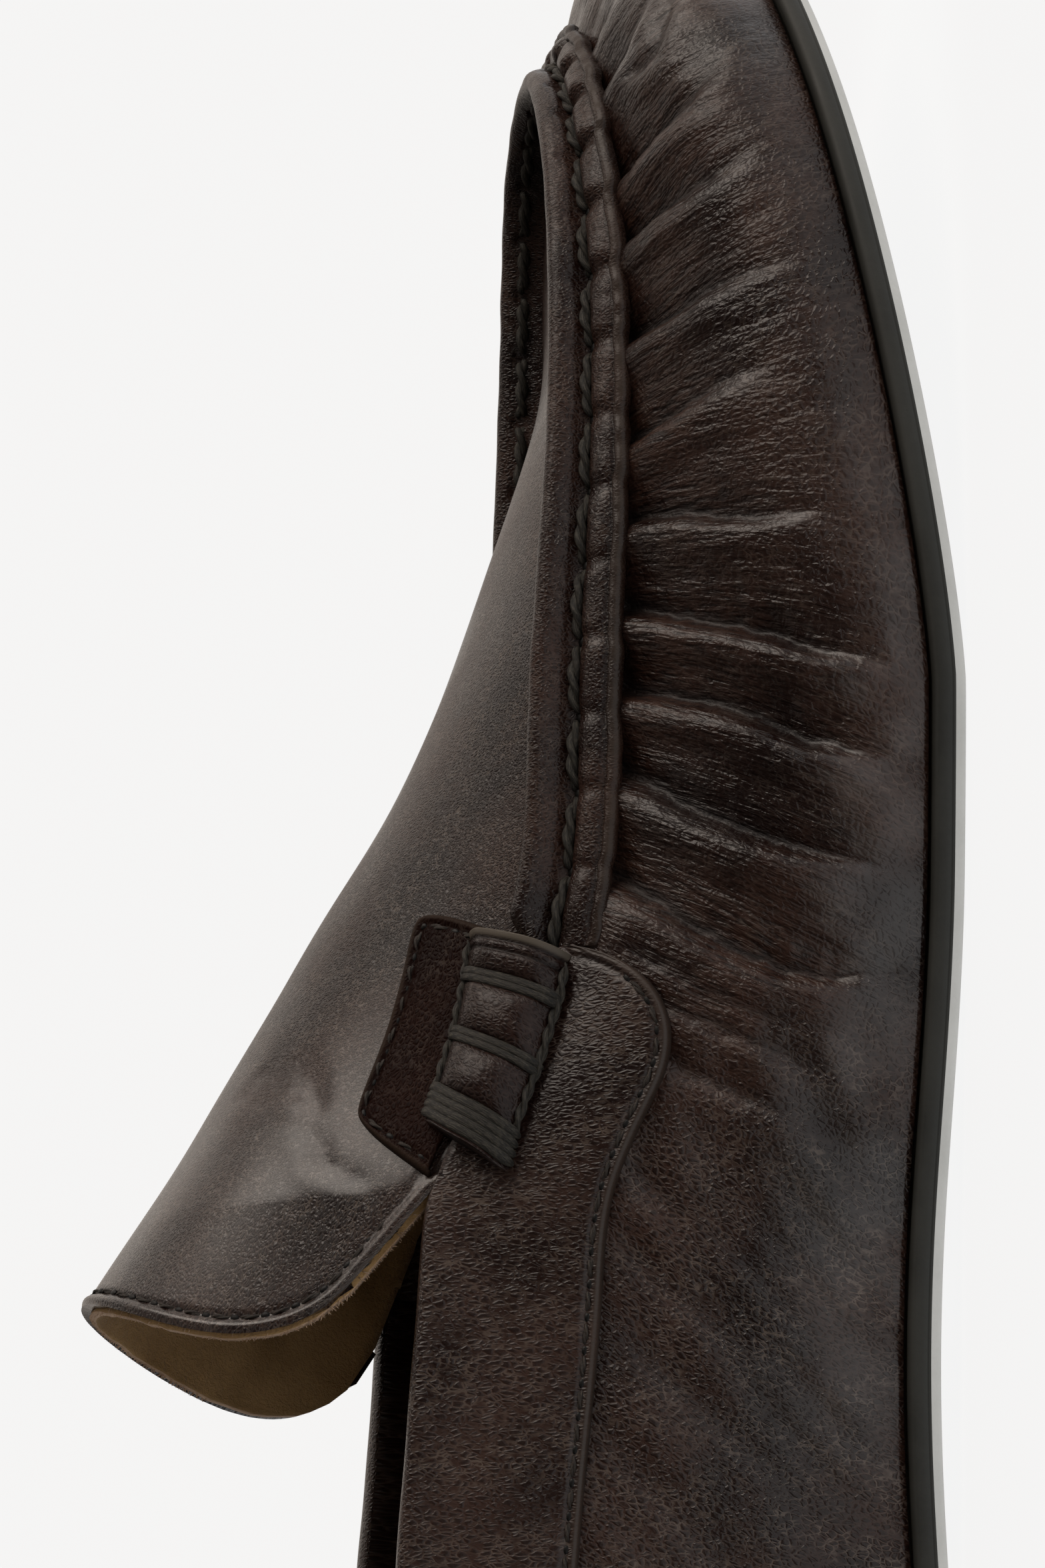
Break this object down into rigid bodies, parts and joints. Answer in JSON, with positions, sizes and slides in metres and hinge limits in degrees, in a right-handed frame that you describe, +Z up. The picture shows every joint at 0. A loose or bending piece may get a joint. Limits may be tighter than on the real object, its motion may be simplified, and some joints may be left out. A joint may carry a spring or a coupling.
{
  "type": "moccasin toe loafer",
  "caption": "Right low slip-on leather loafer with a gathered moccasin toe, standing seam ridge, integral tongue, saddle tabs with bound rolls and a thin rubber sole.",
  "frame": {"origin": "on the floor under the middle of the sole's length and width", "axes": "+Y towards the toe, +X towards the lateral side, +Z up"},
  "size_m": [0.0864, 0.2587, 0.0857],
  "materials": {
    "upper_leather": "dark brown waxed pebble grain",
    "seam_leather": "dark brown waxed, smoother on the folds",
    "sole_rubber": "matt black rubber",
    "lining_leather": "ochre suede"
  },
  "bodies": {
    "root": {"outsole": "sole_rubber", "insole": "lining_leather", "upper": "upper_leather", "seam_ridge": "seam_leather", "collar_band": "upper_leather", "tab_lateral": "upper_leather", "tab_medial": "upper_leather", "beef_roll_lateral": "seam_leather", "beef_roll_medial": "seam_leather"}
  },
  "joints": []
}
